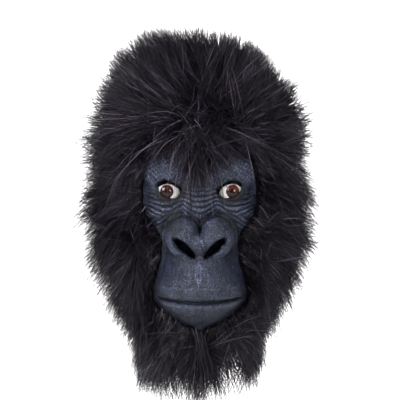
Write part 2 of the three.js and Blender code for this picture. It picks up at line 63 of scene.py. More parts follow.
SNOUT_SECTIONS = np.array([  # height as a share of the chin's drop, then shares of width and reach
    (-0.12, 0.42, 0.7), (-0.2, 0.56, 0.77), (-0.3, 0.68, 0.83), (-0.44, 0.75, 0.905), (-0.56, 0.83, 0.955),
    (-0.67, 0.95, 0.99), (-0.75, 1.0, 1.0), (-0.81, 0.97, 0.985), (-0.87, 0.81, 0.965),
    (-0.925, 0.6, 0.925), (-0.97, 0.42, 0.865), (-1, 0.24, 0.8)])
RAY_STARTS = np.array([  # height, and how far before the axis the level's rays start
    (124, 8), (40, -12), (0, -24), (-24, -38), (-66, -50), (-108, -52), (-135, -42), (-156, -18)])
LID_CENTRE = (28.6, 0.8)
LID_OUTLINE = np.array([  # direction in degrees from the outer corner upwards, distance of the lid's edge
    (-90, 8.3), (-44, 8.9), (-4, 11.6), (13, 13.4), (25, 14.0), (61, 10.6), (101, 7.9), (151, 8.8),
    (180, 13.2), (207, 10.2), (270, 8.3)])
NOSTRIL = {"x": 14.2, "z": -54.8, "half_long": 13.2, "half_wide": 3.7, "tilt": 42.0}


def linear(hex_colour):
    """An sRGB hex colour as linear red, green, blue and alpha."""
    parts = [int(hex_colour[k:k + 2], 16) / 255 for k in (1, 3, 5)]
    return (*[p / 12.92 if p <= 0.04045 else ((p + 0.055) / 1.055) ** 2.4 for p in parts], 1.0)


def add_node(material, kind, inputs=None, **settings):
    """A new node of a material. An input is a value, or a socket to link from."""
    made = material.node_tree.nodes.new(kind)
    for name, value in settings.items():
        setattr(made, name, value)
    for socket, value in (inputs or {}).items():
        if isinstance(value, bpy.types.NodeSocket):
            material.node_tree.links.new(value, made.inputs[socket])
        else:
            made.inputs[socket].default_value = value
    return made


def read_sections(rows, at, column):
    """A smooth curve through a table whose heights fall from row to row."""
    h, v = rows[::-1, 0], rows[::-1, column]
    slope = np.diff(v) / np.diff(h)
    m = np.r_[slope[0], (slope[1:] + slope[:-1]) / 2, slope[-1]]
    at = np.clip(at, h[0], h[-1])
    k = np.clip(np.searchsorted(h, at) - 1, 0, len(h) - 2)
    span = h[k + 1] - h[k]
    t = (at - h[k]) / span
    return ((2 * t**3 - 3 * t**2 + 1) * v[k] + (t**3 - 2 * t**2 + t) * span * m[k]
            + (3 * t**2 - 2 * t**3) * v[k + 1] + (t**3 - t**2) * span * m[k + 1])


def smooth(low, high, v):
    """0 at low and beyond it, 1 at high, with a smooth step between them."""
    t = np.clip((v - low) / (high - low), 0, 1)
    return t * t * (3 - 2 * t)


def level_oval(x, y, half_x, half_y, roundness):
    """Rough distance in mm outside a level superellipse."""
    a, b = np.abs(x / half_x) + 1e-9, np.abs(y / half_y) + 1e-9
    rho = (a**roundness + b**roundness) ** (1 / roundness)
    turn = rho ** (1 - roundness)
    return (rho - 1) / np.hypot(a ** (roundness - 1) / half_x * turn, b ** (roundness - 1) / half_y * turn)


def bulge(p, centre, radii, tilt=0.0):
    """Rough distance in mm outside an ellipsoid, tilted in the plane that faces the front."""
    dx, dy, dz = (p[..., k] - centre[k] for k in range(3))
    c, s = math.cos(math.radians(tilt)), math.sin(math.radians(tilt))
    q = (c * dx + s * dz, dy, c * dz - s * dx)
    k = np.sqrt(sum((v / r) ** 2 for v, r in zip(q, radii)))
    return k * (k - 1) / np.maximum(np.sqrt(sum((v / r**2) ** 2 for v, r in zip(q, radii))), 1e-9)


def melt(a, b, softness):
    """Two forms joined, with a fillet about as wide as the softness in mm."""
    h = np.clip(0.5 + 0.5 * (b - a) / softness, 0, 1)
    return b * (1 - h) + a * h - softness * h * (1 - h)


def carve(a, b, softness):
    """The first form with the second taken out of it."""
    return -melt(-a, b, softness)


def mouth_line(x):
    """Height of the closed mouth, which rises a little to its corners."""
    return MOUTH_CORNER_RISE * (x / MOUTH_HALF_WIDTH) ** 2 - MOUTH_DROP


def latex_form(point):
    """The latex's outside: negative inside it, in millimetres near it."""
    p = point.copy()
    p[..., 0] = np.abs(p[..., 0])
    x, y, z = p[..., 0], p[..., 1], p[..., 2]
    rise = np.clip((z - DOME_START) / (CROWN_RISE - DOME_START), 0, 0.9999)
    dome = (1 - rise**DOME_ROUNDNESS) ** (1 / DOME_ROUNDNESS)
    level = z / HEM_DROP
    back = y - CROWN_LEAN * rise
    reach = np.where(back < 0, FOREHEAD_REACH * read_sections(HEAD_SECTIONS, level, 2),
                     NAPE_REACH * read_sections(HEAD_SECTIONS, level, 3)) * dome
    half_width = HEAD_HALF_WIDTH * dome * read_sections(HEAD_SECTIONS, level, 1)
    behind = level_oval(x, back, half_width, reach, HEAD_ROUNDNESS)
    f = melt(behind, bulge(p, *BROW_PAD), 7)
    f = melt(f, bulge(p, *BROW_MIDDLE), 8)
    f = carve(f, bulge(p, *SOCKET), 5)
    f = melt(f, bulge(p, *BRIDGE), 7)
    f = melt(f, bulge(p, *UNDER_EYE), 6)
    from_eye = np.sqrt((x - EYE_X) ** 2 + (y - EYE_Y) ** 2 + z**2)
    f = melt(f, from_eye - (EYE_RADIUS + LID_CLEARANCE + LATEX_WALL), 3)
    share = z / CHIN_DROP
    root = -SNOUT_ROOT * SNOUT_REACH
    snout = level_oval(x, y - root, SNOUT_HALF_WIDTH * read_sections(SNOUT_SECTIONS, share, 1),
                       SNOUT_REACH * read_sections(SNOUT_SECTIONS, share, 2) + root, SNOUT_ROUNDNESS)
    snout = snout + CHIN_DROP * (np.maximum(0, -1 - share) + np.maximum(0, share - SNOUT_SECTIONS[0, 0]))
    f = melt(f, snout, 11)
    nose = melt(bulge(p, *NOSE_LOBE), bulge(p, *NOSE_TIP), 5)
    f = melt(f, nose, 2.5)
    f = carve(f, bulge(p, *NOSTRIL_HOLLOW), 2.5)
    lips = LIP_SWELL * np.exp(-(((z - mouth_line(x)) / LIP_HEIGHT) ** 2))
    lips = lips * (1 - smooth(39, 45, x)) * smooth(73, 100, -y)
    return np.where(y > 0, behind, f + lips)


def march(start, direction, reach):
    """Where rays coming in towards their starts first meet the latex."""
    r = np.full(len(start), float(reach))
    for _ in range(90):
        f = latex_form(start + direction * r[:, None])
        step = np.where((f > 0) & (r > 2), np.clip(0.55 * f, 0.35, 7), 0)
        if not step.any():
            break
        r = r - step
    low, high = r - 0.2, r + 7
    for _ in range(16):
        middle = (low + high) / 2
        outside = latex_form(start + direction * middle[:, None]) > 0
        low, high = np.where(outside, low, middle), np.where(outside, middle, high)
    return start + direction * ((low + high) / 2)[:, None]


def outward(p):
    """The latex's normals."""
    steps = [np.eye(3)[k] * 0.3 for k in range(3)]
    slope = np.stack([latex_form(p + s) - latex_form(p - s) for s in steps], -1)
    return slope / np.linalg.norm(slope, axis=-1, keepdims=True)


def to_frame(p):
    """Millimetres from the eye line and axis, as metres in the frame, whose origin is inside the crown."""
    return (np.asarray(p) + (0, -CROWN_LEAN, LATEX_WALL - CROWN_RISE)) / 1000


def mesh_piece(name, points, faces, material):
    """A new object with its place in its mesh."""
    mesh = bpy.data.meshes.new(name)
    mesh.from_pydata(to_frame(points).tolist(), [], faces)
    mesh.materials.append(material)
    piece = bpy.data.objects.new(name, mesh)
    bpy.context.scene.collection.objects.link(piece)
    return piece


def set_value(piece, name, values):
    """A number for each vertex, which the material reads by this name."""
    attribute = piece.data.attributes.new(name, "FLOAT", "POINT")
    attribute.data.foreach_set("value", np.asarray(values, dtype=np.float32))


def pick(piece):
    """Makes a piece the only one selected, and active, before an operator."""
    bpy.ops.object.select_all(action="DESELECT")
    piece.select_set(True)
    bpy.context.view_layer.objects.active = piece


# Grid of the skin: one half is solved, with close columns and rows over the face, and mirrored.
half_angles = np.r_[np.arange(0, 45, 0.62), np.arange(45, 64, 1.2), np.linspace(64.2, 180, 16)]
over_dome = DOME_START + (CROWN_RISE - DOME_START) * np.cos(np.linspace(0.09, 1.42, 12))
heights = np.r_[over_dome, np.arange(51, -142, -1.0), np.linspace(-142, -HEM_DROP, 8)]
grid_z, grid_a = (g.ravel() for g in np.meshgrid(heights, np.radians(half_angles), indexing="ij"))
starts = np.c_[np.zeros_like(grid_z), read_sections(RAY_STARTS, grid_z, 1), grid_z]
half_skin = march(starts, np.c_[np.sin(grid_a), -np.cos(grid_a), np.zeros_like(grid_a)], 220)
half_skin = half_skin.reshape(len(heights), len(half_angles), 3)
skin = np.concatenate([half_skin, half_skin[:, -2:0:-1] * (-1, 1, 1)], 1)
normals = outward(skin)
rows, columns = skin.shape[:2]


def folds(position, spacing, crispness=0.6):
    """Rounded ridges with sharp creases between them, from -0.5 to 0.5."""
    return np.abs(np.sin(np.pi * position / spacing)) ** crispness - 0.5


def crease(distance, width):
    """A single furrow along the line where the distance is 0."""
    return -np.exp(-((distance / width) ** 2))


def grain(points, size, offset):
    """Smooth noise with features of this size in mm, from -1 to 1."""
    return np.array([noise.noise(Vector(p)) for p in (points / size + offset).tolist()])


flat = skin.reshape(-1, 3)
x, y, z = flat.T
a = np.abs(x)
face = smooth(-20, -50, y)
unsteady = grain(flat, 9, 2.2)

# Waves of folds run across the bridge, down under each eye and up again towards the temples.
wave = np.interp(a, (0, 6, 11, 15.5, 19, 27, 36, 44, 52), (-1, -0.9, -0.1, 0.9, 0.75, -0.75, -1, -0.2, 1))
wave = wave - 0.25 * smooth(-2, -8, z) * smooth(9, 2, a)
position = z - (1.4 - 0.13 * z) * wave - 1.65 + 0.7 * unsteady
socket = np.hypot((a - 30.5) / 1.25, z)
below_lid = np.where(a < 15, 1, smooth(10.4, 12.2, socket))
waves = folds(position, 4.5) * smooth(4.5, 1.5, z) * smooth(-27, -22, z) * below_lid * smooth(56, 46, a)
waves = waves * np.where(a < 16, 1, smooth(2, -8, z))
slant_line = -15 - 0.35 * (a - 16.7)
slanting = smooth(0, 3, slant_line - z) * smooth(15, 18, a)
slants = folds(0.5 * a + 0.865 * z + 0.8 * unsteady, 4.0) * slanting * smooth(50, 42, a) * smooth(-41, -35, z)
waves = waves * (1 - slanting)

# The nose's two lobes have a crease round them, a Y between them and small nodules on the tip.
lobe = (np.hypot((a - 17) / 18, (z + 44) / 20) - 1) * 19
above_wings = smooth(-60, -50, z)
arch = crease(lobe - 3.6, 1.0) * above_wings + 0.7 * np.exp(-(((lobe - 1.4) / 1.3) ** 2)) * above_wings
slants = slants * smooth(2.5, 5, lobe)
waves = waves * smooth(0.5, 3.5, lobe)
on_nose = smooth(1.5, -0.5, lobe) * smooth(-66, -60, z)
notch = crease(x + 0.4 * unsteady, 1.1) * smooth(-25, -28, z) * smooth(-43, -38, z)
fork = crease(a - 0.85 * (z + 34), 1.0) * smooth(-35, -33, z) * smooth(-25, -28, z)
tip_lines = folds(a * 0.8 + z * 0.5 + unsteady, 3.3) * smooth(9, 4, a)
tip_lines = tip_lines * smooth(-38, -42, z) * smooth(-64, -58, z)
NODULES = [  # across, height, radius and how far it stands out
    (-2.2, -44.0, 1.7, 0.9), (1.4, -47.5, 1.6, 0.9), (-3.6, -49.5, 1.4, 0.8), (3.4, -51.5, 1.5, 0.8),
    (-0.4, -53.5, 1.7, 0.9)]
nodules = sum(high * np.exp(-(((x - nx) ** 2 + (z - nz) ** 2) / wide**2)) for nx, nz, wide, high in NODULES)

# Brow pads are rough with slanting wrinkles, and upright furrows stand between them.
glabella = folds(x + 4.6 + 0.8 * unsteady, 6.1) * smooth(17, 11, a) * smooth(3, 7, z) * smooth(33, 26, z)
off_lids = smooth(7.2, 9.5, np.hypot((a - LID_CENTRE[0]) / 1.4, z - LID_CENTRE[1]))
pad = smooth(1.25, 0.85, np.hypot((a - 31) / 27, (z - 21) / 18)) * off_lids
pad_lines = folds(0.76 * a - 0.65 * z + 1.6 * grain(flat, 7, 3.1), 2.7) + 0.6 * folds(0.5 * a + 0.86 * z, 3.9)
crow_feet = folds(z - 0.25 * (a - 44) + 0.8 * unsteady, 3.1) * smooth(42, 46, a) * smooth(16, 10, np.abs(z))

# Muzzle: upright pleats at the sides, a tall narrow loop under the nose, lips and chin.
loop = np.exp(-(((np.hypot((x + 1.0) / 2.2, (z + 78.5) / 8.5) - 1) * 2.2 / 0.75) ** 2))
side_ridges = np.exp(-((np.abs(x + 1) - 9.0) ** 2) / 1.0) * smooth(-73, -77, z) * smooth(-90, -85, z)
muzzle = smooth(-62, -68, z) * smooth(-99, -93, z)
pleats = folds(a + 0.18 * z + 1.5 * grain(flat, 8, 8.7), 2.6) * smooth(17, 28, a) * muzzle
upright = folds(x + 1.6 * grain(flat, 6, 6.1), 3.1) * smooth(20, 12, a)
upright = upright * smooth(-68, -74, z) * smooth(-95, -90, z)
lip_edge = np.exp(-(((z + 93.5 - 0.0012 * x**2) / 1.0) ** 2)) * smooth(42, 34, a)
below_mouth = mouth_line(a) - z
lower_lip = np.exp(-(((below_mouth - 4.4) / 2.4) ** 2)) * smooth(40, 30, a)
lip_lines = folds(x + 1.2 * grain(flat, 5, 5.5), 2.1) * smooth(3.5, 1, np.abs(below_mouth - 5.5) / 2)
lip_lines = lip_lines * smooth(40, 34, a)
chin_lines = folds(x - 0.12 * x * (z + 112) / 10 + 1.6 * grain(flat, 6, 7.9), 2.7)
chin_lines = chin_lines * smooth(-112, -116, z) * smooth(30, 22, a)
lumps = grain(flat, 8, 1.7)
pitting = grain(flat, 2.6, 4.2)
fine = grain(flat, 1.5, 9.3)

# Each kind of fold, how far it stands out in mm, and how much its ridges are painted paler, as dry-brushed
# paint, and its creases darker, which is painted shade. The slanting folds are deeper on the side that shows
# on the right.
casting = [
    (waves, 3.1, 0.95), (slants, np.where(x > 0, 3.0, 1.8), np.where(x > 0, 0.95, 0.7)), (arch, 0.9, 0.3),
    (notch, 1.4, 0.35), (fork, 0.9, 0.25), (nodules, 1.0, 0.25), (tip_lines, 0.5, 0.0), (glabella, 1.4, 0.22),
    (pad * pad_lines, 1.0, 0.36), (crow_feet, 0.6, 0.2), (loop, 0.9, 0.3), (side_ridges, 0.4, 0.12),
    (pleats, 0.55, 0.14), (upright, 0.35, 0.1), (lip_edge, 0.5, 0.12), (lower_lip, 1.0, 0.2),
    (lip_lines, 0.6, 0.14), (chin_lines, 0.45, 0.12)]
relief = sum(raised_by * fold for fold, raised_by, paler in casting)
relief = face * (relief + 0.4 * lumps * (1 - 0.4 * on_nose) + 0.45 * pitting + 0.32 * fine)
relief = np.where((socket < 15) & (a > 14), np.maximum(relief, -0.3), relief)
moved = flat + normals.reshape(-1, 3) * relief[:, None]


def lid_reach(a, z):
    """1 on the edge of the lids, less within it."""
    turn = np.degrees(np.arctan2(z - LID_CENTRE[1], a - LID_CENTRE[0]))
    steps = np.arange(-90, 271, 3)
    edge = np.convolve(np.pad(np.interp(steps, *LID_OUTLINE.T), 2, "edge"), np.ones(5) / 5, "valid")
    turn = np.where(turn < -90, turn + 360, turn)
    return np.hypot(a - LID_CENTRE[0], z - LID_CENTRE[1]) / np.interp(turn, steps, edge)


def nostril_reach(a, z):
    """1 on the edge of the nostrils, less within it."""
    c, s = math.cos(math.radians(NOSTRIL["tilt"])), math.sin(math.radians(NOSTRIL["tilt"]))
    dx, dz = a - NOSTRIL["x"], z - NOSTRIL["z"]
    return np.hypot((c * dx + s * dz) / NOSTRIL["half_long"], (c * dz - s * dx) / NOSTRIL["half_wide"])


# Cells within an opening go, and the vertices round it are drawn onto its edge.
vertex = np.arange(rows * columns).reshape(rows, columns)
beside = np.roll(vertex, -1, axis=1)
quads = np.stack([vertex[:-1], vertex[1:], beside[1:], beside[:-1]], -1).reshape(-1, 4)
BEHIND_FACE = -60.0  # lids and nostrils lie before this plane
openings = [(LID_CENTRE, lid_reach(a, z)), ((NOSTRIL["x"], NOSTRIL["z"]), nostril_reach(a, z))]
wanted = np.ones(len(flat), bool)
for centre, reach in openings:
    wanted &= (reach >= 1) | (y > BEHIND_FACE)
kept = wanted[quads].all(1)
rim = np.zeros(len(flat), bool)
rim[quads[~kept]] = True
rim &= wanted
for centre, reach in openings:
    edge = rim & (reach < 1.7) & (y < BEHIND_FACE)
    drawn = np.full((edge.sum(), 3), BEHIND_FACE)
    drawn[:, 0] = centre[0] + (a[edge] - centre[0]) / reach[edge]
    drawn[:, 2] = centre[1] + (z[edge] - centre[1]) / reach[edge]
    found = march(drawn, np.array((0.0, -1.0, 0.0)), 100)
    moved[edge] = found * np.c_[np.sign(x[edge]), np.ones((len(drawn), 2))]

# Cast latex is satin and slightly uneven, sponged with paler blue-grey on top. The black-blue in its creases
# is painted shade.
# Sponge marks and pores are drawn coarser than real ones, so that they show.
BLOTCHES, SPONGE_MARKS, PORES = 90.0, 800.0, 850.0  # to a metre, so 11, 1.25 and 1.2 mm apart
latex = bpy.data.materials.new("latex_painted_blue_black")
latex.use_nodes = True
surface = latex.node_tree.nodes["Principled BSDF"]
# The tone of each vertex: dry-brushed paint on the ridges, with painted shade in the creases and hollows.
paint_and_shade = add_node(latex, "ShaderNodeAttribute", attribute_name="relief")
place = add_node(latex, "ShaderNodeTexCoord")
spot = place.outputs["Object"]
mottle = add_node(latex, "ShaderNodeTexNoise", {"Vector": spot, "Scale": BLOTCHES, "Detail": 5.0})
sponge = add_node(latex, "ShaderNodeTexNoise", {"Vector": spot, "Scale": SPONGE_MARKS, "Detail": 4.0})
speckled = add_node(latex, "ShaderNodeMath", operation="MULTIPLY_ADD", inputs={
    0: sponge.outputs["Fac"], 1: 1.7, 2: paint_and_shade.outputs["Fac"]})
clouded = add_node(latex, "ShaderNodeMath", operation="MULTIPLY_ADD", inputs={
    0: mottle.outputs["Fac"], 1: 0.45, 2: speckled.outputs[0]})
centred = add_node(latex, "ShaderNodeMath", {0: clouded.outputs[0], 1: 1.13}, operation="SUBTRACT")
paint = add_node(latex, "ShaderNodeValToRGB", {"Fac": centred.outputs[0]})
# The near-black bottom of the ramp is painted shade in the creases.
for element, (position, shade) in zip(paint.color_ramp.elements, [(0.06, "#05060a"), (1.0, "#7a8096")]):
    element.position, element.color = position, linear(shade)
for position, shade in [(0.3, "#151823"), (0.5, "#282c3b"), (0.72, "#40465d")]:
    paint.color_ramp.elements.new(position).color = linear(shade)
latex.node_tree.links.new(paint.outputs["Color"], surface.inputs["Base Color"])
pores = add_node(latex, "ShaderNodeTexVoronoi", {"Vector": spot, "Scale": PORES})
bumps = add_node(latex, "ShaderNodeMath", operation="ADD", inputs={
    0: pores.outputs["Distance"], 1: sponge.outputs["Fac"]})
rough = add_node(latex, "ShaderNodeBump", {"Strength": 0.9, "Distance": 0.0006, "Height": bumps.outputs[0]})
latex.node_tree.links.new(rough.outputs["Normal"], surface.inputs["Normal"])
surface.inputs["Roughness"].default_value = 0.4
surface.inputs["Specular IOR Level"].default_value = 0.35

# Tone of the latex: paler on ridges and darker between them, darker at the mouth, round the openings, in the
# sockets, under the eyes, on the bridge, over the middle of the brow and on the chin, paler on the nose and
# muzzle.
# The dark mouth line, the crease round the nose lobes, the dark rims of the lids and nostrils and the dark
# sockets are painted shade.
tone = sum((paler * fold for fold, raised_by, paler in casting), 0.5)
# Painted shade along the closed mouth.
tone = tone + 0.5 * crease(below_mouth, 1.1) * smooth(46, 40, a) * smooth(-73, -90, y)
tone = tone + 0.05 * lumps + 0.05 * pitting
tone = tone + 0.08 * on_nose + 0.04 * muzzle - 0.12 * smooth(-104, -112, z)
# Painted shade in the crease round the nose lobes.
tone = tone + 0.25 * crease(lobe, 1.0) * smooth(-66, -58, z)
# Painted shade round the lids and nostrils, where they open onto the dark inside.
tone = tone - 0.35 * smooth(1.16, 1.0, lid_reach(a, z)) - 0.3 * smooth(1.35, 1.0, nostril_reach(a, z))
# Painted shade low in the sockets round the eyes, and the middle of the brow darker.
tone = tone - 0.12 * smooth(20, 12, socket) * smooth(4, -4, z) - 0.1 * smooth(12, 24, z) * smooth(18, 6, a)
tone = tone - 0.17 * smooth(14, 20, a) * smooth(0, -6, z) * smooth(-44, -36, z)
tone = tone - 0.1 * smooth(16, 12, a) * smooth(2, -2, z) * smooth(-30, -24, z)
points = np.vstack([moved, (0, CROWN_LEAN, CROWN_RISE)])
faces = quads[kept].tolist() + [(len(moved), i, (i + 1) % columns) for i in range(columns)]
head = mesh_piece("latex_skin", points, faces, latex)
# The tone goes to the material as relief, with the painted shade in it.
set_value(head, "relief", np.r_[np.clip(tone, 0, 1) * face + 0.45 * (1 - face), 0.45])
pick(head)
bpy.ops.object.mode_set(mode="EDIT")
bpy.ops.mesh.select_all(action="SELECT")
bpy.ops.mesh.delete_loose()
bpy.ops.object.mode_set(mode="OBJECT")
wall = head.modifiers.new("wall", "SOLIDIFY")
wall.thickness = LATEX_WALL / 1000
wall.offset = -1
bpy.ops.object.modifier_apply(modifier="wall")
bpy.ops.object.shade_smooth()
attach(head, "root")
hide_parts("latex_head")


# Eyes. Thin glossy acrylic domes glued behind the lids, white, with a large dark brown iris printed on each.
# Each is an oval cut from a ball and set low, so that the wearer looks out through the slit above it.
EYE_HALF_WIDTH, EYE_HALF_HEIGHT, EYE_DROP, EYE_WALL = 13.0, 10.8, 3.6, 2.0
CAP_SPREAD = 64  # degrees from the dome's middle to its cut
IRIS_OUTWARD, IRIS_LOWERED = 0.7, 0.5
PRINT_REACH, RAGGED_EDGE = 12.0, 0.7
PRINT = [  # share of the print's reach from the iris's middle, colour in its lower and in its upper part
    (0.0, "#050303", "#070303"), (0.2, "#070404", "#0a0505"), (0.27, "#2c120e", "#5a2118"),
    (0.45, "#3c1a14", "#76301f"), (0.53, "#2a120e", "#3a1610"), (0.565, "#0d0706", "#120807"),
    (0.6, "#f2efec", "#f2efec"), (1.0, "#efe9e4", "#efe9e4")]


def offsets(piece, middle):
    """Each vertex's way in mm from a point of the frame."""
    return np.array([v.co for v in piece.data.vertices]) * 1000 - middle * 1000


# Injection-moulded white acrylic, printed, under a clear lacquer that gives sharp small highlights.
acrylic = bpy.data.materials.new("acrylic_printed_eye")
acrylic.use_nodes = True
surface = acrylic.node_tree.nodes["Principled BSDF"]
ring = add_node(acrylic, "ShaderNodeAttribute", attribute_name="iris_mm")
spoke = add_node(acrylic, "ShaderNodeAttribute", attribute_name="spoke")
upper = add_node(acrylic, "ShaderNodeAttribute", attribute_name="upper")
streaks = add_node(acrylic, "ShaderNodeTexNoise", noise_dimensions="1D", inputs={
    "W": spoke.outputs["Fac"], "Scale": 9.0, "Detail": 4.0})
ragged = add_node(acrylic, "ShaderNodeMath", operation="MULTIPLY_ADD", inputs={
    0: streaks.outputs["Fac"], 1: RAGGED_EDGE, 2: ring.outputs["Fac"]})
scaled = add_node(acrylic, "ShaderNodeMath", {0: ragged.outputs[0], 1: PRINT_REACH}, operation="DIVIDE")
printed = []
for column in (1, 2):
    ramp = add_node(acrylic, "ShaderNodeValToRGB", {"Fac": scaled.outputs[0]})
    ramp.color_ramp.elements[0].color = linear(PRINT[0][column])
    ramp.color_ramp.elements[1].color = linear(PRINT[-1][column])
    for row in PRINT[1:-1]:
        ramp.color_ramp.elements.new(row[0]).color = linear(row[column])
    printed.append(ramp)
iris = add_node(acrylic, "ShaderNodeMix", {"Factor": upper.outputs["Fac"]}, data_type="RGBA")
acrylic.node_tree.links.new(printed[0].outputs["Color"], iris.inputs[6])
acrylic.node_tree.links.new(printed[1].outputs["Color"], iris.inputs[7])
acrylic.node_tree.links.new(iris.outputs[2], surface.inputs["Base Color"])
surface.inputs["Roughness"].default_value = 0.6
surface.inputs["Specular IOR Level"].default_value = 0.0
surface.inputs["Coat Weight"].default_value = 0.6
surface.inputs["Coat Roughness"].default_value = 0.03

for node_name, side, paler_above in (("left_eye", -1, 0.3), ("right_eye", 1, 0.9)):
    bpy.ops.object.select_all(action="DESELECT")
    middle = to_frame((side * EYE_X, EYE_Y, 0))
    bpy.ops.mesh.primitive_uv_sphere_add(
        segments=96, ring_count=80, radius=EYE_RADIUS / 1000, location=middle, rotation=(math.pi / 2, 0, 0))
    bpy.ops.object.transform_apply(location=True, rotation=True, scale=True)
    eye = bpy.context.object
    eye.name = node_name + "_dome"
    at = offsets(eye, middle)
    oval = np.hypot(at[:, 0] / EYE_HALF_WIDTH, (at[:, 2] + EYE_DROP) / EYE_HALF_HEIGHT)
    dropped = (oval > 1) | (at[:, 1] > -EYE_RADIUS * math.cos(math.radians(CAP_SPREAD)))
    bpy.ops.object.mode_set(mode="EDIT")
    bpy.ops.mesh.select_all(action="DESELECT")
    bpy.ops.object.mode_set(mode="OBJECT")
    for vertex, gone in zip(eye.data.vertices, dropped):
        vertex.select = bool(gone)
    bpy.ops.object.mode_set(mode="EDIT")
    bpy.ops.mesh.delete(type="VERT")
    bpy.ops.object.mode_set(mode="OBJECT")
    wall = eye.modifiers.new("wall", "SOLIDIFY")
    wall.thickness = EYE_WALL / 1000
    wall.offset = -1
    pick(eye)
    bpy.ops.object.modifier_apply(modifier="wall")
    bpy.ops.object.shade_smooth()
    at = offsets(eye, middle)
    u, v = at[:, 0] - side * IRIS_OUTWARD, at[:, 2] + IRIS_LOWERED
    set_value(eye, "iris_mm", np.hypot(u, v))
    set_value(eye, "spoke", np.arctan2(v, u))
    set_value(eye, "upper", smooth(-1, 4, v) * paler_above)
    eye.data.materials.clear()
    eye.data.materials.append(acrylic)
    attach(eye, "root")
    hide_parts(node_name)


# Fur cloth. The knitted ground that the pile grows from, glued to the latex all round the face, 1.6 mm thick.
# Its edge follows the brows and cheeks, comes in beside the nose and runs round under the chin.
FACE_EDGE = np.array([  # height, half width of the bare face
    (41, 30), (38, 42), (30, 49), (20, 52), (12, 54), (0, 55.5), (-12, 55.5), (-22, 53), (-30, 47), (-36, 42),
    (-42, 39), (-50, 37), (-66, 37), (-80, 41), (-98, 46), (-108, 45), (-114, 40), (-120, 32), (-125, 25),
    (-129, 16), (-131.5, 6), (-133, 0)], float)
CLOTH_LIFT, CLOTH_THICKNESS = 1.3, 1.6
CLOTH_ROWS = np.r_[0:12:2, 12:rows - 9:3, rows - 8:rows]
CLOTH_COLUMNS = 56
FRONT_COLUMNS = 100  # columns of the skin, from the middle, among which the face's edge lies
wide = 2 * CLOTH_COLUMNS + 1
cloth_points = np.zeros((len(CLOTH_ROWS), wide, 3))
half_count = len(half_angles)
for k, j in enumerate(CLOTH_ROWS):
    edge_x = np.interp(-heights[j], -FACE_EDGE[:, 0], FACE_EDGE[:, 1], left=0, right=0)
    widest = np.maximum.accumulate(skin[j, :FRONT_COLUMNS, 0])
    first = np.interp(edge_x, widest, np.arange(FRONT_COLUMNS)) if edge_x else 0
    ground = skin[j] + normals[j] * CLOTH_LIFT
    for m, u in enumerate(np.linspace(0, 1, CLOTH_COLUMNS + 1)):
        index = first + (half_count - 1 - first) * u
        low = min(int(index), half_count - 2)
        p = ground[low] * (low + 1 - index) + ground[low + 1] * (index - low)
        cloth_points[k, m] = p
        cloth_points[k, 2 * CLOTH_COLUMNS - m] = p * (-1, 1, 1)
cloth_faces = [(k * wide + m, (k + 1) * wide + m, (k + 1) * wide + m + 1, k * wide + m + 1)
               for k in range(len(CLOTH_ROWS) - 1) for m in range(wide - 1)]
cloth_faces += [(len(CLOTH_ROWS) * wide, m, (m + 1) % (wide - 1)) for m in range(wide - 1)]
cloth_top = (0, CROWN_LEAN, CROWN_RISE + CLOTH_LIFT)

# Black warp-knit, matt, which swallows light between the hairs.
KNIT_LOOPS = 700.0  # to a metre, so 1.4 mm apart
fur_knit = bpy.data.materials.new("fur_backing_knit")
fur_knit.use_nodes = True
surface = fur_knit.node_tree.nodes["Principled BSDF"]
place = add_node(fur_knit, "ShaderNodeTexCoord")
knit = add_node(fur_knit, "ShaderNodeTexVoronoi", {"Vector": place.outputs["Object"], "Scale": KNIT_LOOPS})
loops = add_node(fur_knit, "ShaderNodeBump", {
    "Strength": 0.8, "Distance": 0.0006, "Height": knit.outputs["Distance"]})
fur_knit.node_tree.links.new(loops.outputs["Normal"], surface.inputs["Normal"])
dye = add_node(fur_knit, "ShaderNodeValToRGB", {"Fac": knit.outputs["Distance"]})
dye.color_ramp.elements[0].color, dye.color_ramp.elements[1].color = linear("#0b090c"), linear("#060506")
fur_knit.node_tree.links.new(dye.outputs["Color"], surface.inputs["Base Color"])
surface.inputs["Roughness"].default_value = 0.95
surface.inputs["Specular IOR Level"].default_value = 0.1
cloth = mesh_piece("fur_backing", np.vstack([cloth_points.reshape(-1, 3), cloth_top]), cloth_faces, fur_knit)
pick(cloth)
bpy.ops.object.mode_set(mode="EDIT")
bpy.ops.mesh.select_all(action="SELECT")
bpy.ops.mesh.remove_doubles(threshold=0.00005)
bpy.ops.mesh.normals_make_consistent(inside=False)
bpy.ops.object.mode_set(mode="OBJECT")
thick = cloth.modifiers.new("thick", "SOLIDIFY")
thick.thickness = CLOTH_THICKNESS / 1000
thick.offset = 1
bpy.ops.object.modifier_apply(modifier="thick")
bpy.ops.object.shade_smooth()
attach(cloth, "root")
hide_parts("fur_hood", "fur_bib")


